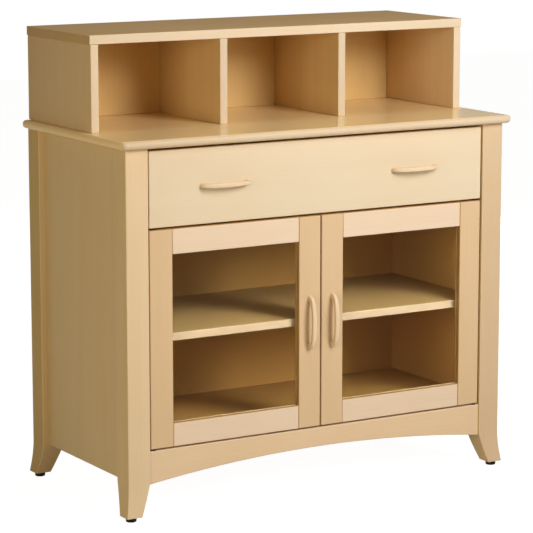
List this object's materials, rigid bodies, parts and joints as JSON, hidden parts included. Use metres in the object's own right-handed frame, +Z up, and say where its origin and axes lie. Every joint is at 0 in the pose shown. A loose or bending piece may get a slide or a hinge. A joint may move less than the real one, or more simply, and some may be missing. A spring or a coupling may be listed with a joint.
{
  "type": "sideboard",
  "caption": "Maple sideboard on flared posts: a wide drawer over a pair of glazed doors with a shelf behind them, and a hutch of open cubbies on the worktop.",
  "frame": {"origin": "on the floor, at the middle of the outline seen from above", "axes": "+Z up; the front, with the drawer and doors, faces -Y; +X is to the right of someone who faces the front"},
  "size_m": [1.03, 0.5116, 1.061],
  "materials": {
    "maple_solid": "clear satin lacquer on solid maple",
    "maple_rail": "clear satin lacquer on solid maple, grain along the rail",
    "maple_panel": "clear semi-gloss lacquer on maple veneer",
    "birch_box": "thin matt lacquer on birch plywood",
    "clear_glass": "polished clear float glass",
    "black_nylon": "moulded black nylon",
    "steel": "zinc-plated pressed steel; the door pivots are blackened"
  },
  "bodies": {
    "cabinet": {"leg_front_left": "maple_solid", "leg_front_right": "maple_solid", "leg_back_left": "maple_solid", "leg_back_right": "maple_solid", "side_panel_left": "maple_panel", "side_panel_right": "maple_panel", "case_back_panel": "maple_panel", "bottom_panel": "maple_panel", "drawer_divider_panel": "maple_panel", "shelf": "maple_panel", "top_stretcher_front": "maple_solid", "top_stretcher_rear": "maple_solid", "arched_front_rail": "maple_rail", "worktop": "maple_panel", "shelf_pin_front_left": "steel", "shelf_pin_front_right": "steel", "shelf_pin_back_left": "steel", "shelf_pin_back_right": "steel", "hutch_top": "maple_panel", "hutch_end_left": "maple_panel", "hutch_divider_left": "maple_panel", "hutch_end_right": "maple_panel", "hutch_divider_right": "maple_panel", "hutch_back_panel": "maple_panel", "drawer_slide_channel_left": "steel", "pivot_pin_left": "steel", "pivot_plate_left": "steel", "door_catch_left": "black_nylon", "drawer_slide_channel_right": "steel", "pivot_pin_right": "steel", "pivot_plate_right": "steel", "door_catch_right": "black_nylon"},
    "drawer": {"drawer_front": "maple_solid", "drawer_side_left": "birch_box", "drawer_side_right": "birch_box", "drawer_back": "birch_box", "drawer_bottom": "birch_box", "drawer_slide_runner_left": "steel", "drawer_slide_runner_right": "steel", "drawer_pull_left": "maple_solid", "drawer_pull_right": "maple_solid"},
    "door_left": {"door_left_hinge_stile": "maple_solid", "door_left_meeting_stile": "maple_solid", "door_left_top_rail": "maple_rail", "door_left_bottom_rail": "maple_rail", "door_left_glass": "clear_glass", "door_left_pull": "maple_solid"},
    "door_right": {"door_right_hinge_stile": "maple_solid", "door_right_meeting_stile": "maple_solid", "door_right_top_rail": "maple_rail", "door_right_bottom_rail": "maple_rail", "door_right_glass": "clear_glass", "door_right_pull": "maple_solid"},
    "glide_front_left": {"glide_front_left": "black_nylon"},
    "glide_front_right": {"glide_front_right": "black_nylon"},
    "glide_back_left": {"glide_back_left": "black_nylon"},
    "glide_back_right": {"glide_back_right": "black_nylon"}
  },
  "joints": [
    {"name": "drawer_slide", "type": "slide", "parent": "cabinet", "child": "drawer", "axis": [0, -1, 0], "range_m": [0, 0.3]},
    {"name": "door_left_hinge", "type": "hinge", "parent": "cabinet", "child": "door_left", "pos_m": [-0.433, -0.2256, 0.158], "axis": [0, 0, -1], "range_deg": [0, 105]},
    {"name": "door_right_hinge", "type": "hinge", "parent": "cabinet", "child": "door_right", "pos_m": [0.433, -0.2256, 0.158], "axis": [0, 0, 1], "range_deg": [0, 105]},
    {"name": "glide_front_left_thread", "type": "slide", "parent": "cabinet", "child": "glide_front_left", "axis": [0, 0, -1], "range_m": [0, 0.012]},
    {"name": "glide_front_right_thread", "type": "slide", "parent": "cabinet", "child": "glide_front_right", "axis": [0, 0, -1], "range_m": [0, 0.012]},
    {"name": "glide_back_left_thread", "type": "slide", "parent": "cabinet", "child": "glide_back_left", "axis": [0, 0, -1], "range_m": [0, 0.012]},
    {"name": "glide_back_right_thread", "type": "slide", "parent": "cabinet", "child": "glide_back_right", "axis": [0, 0, -1], "range_m": [0, 0.012]}
  ]
}
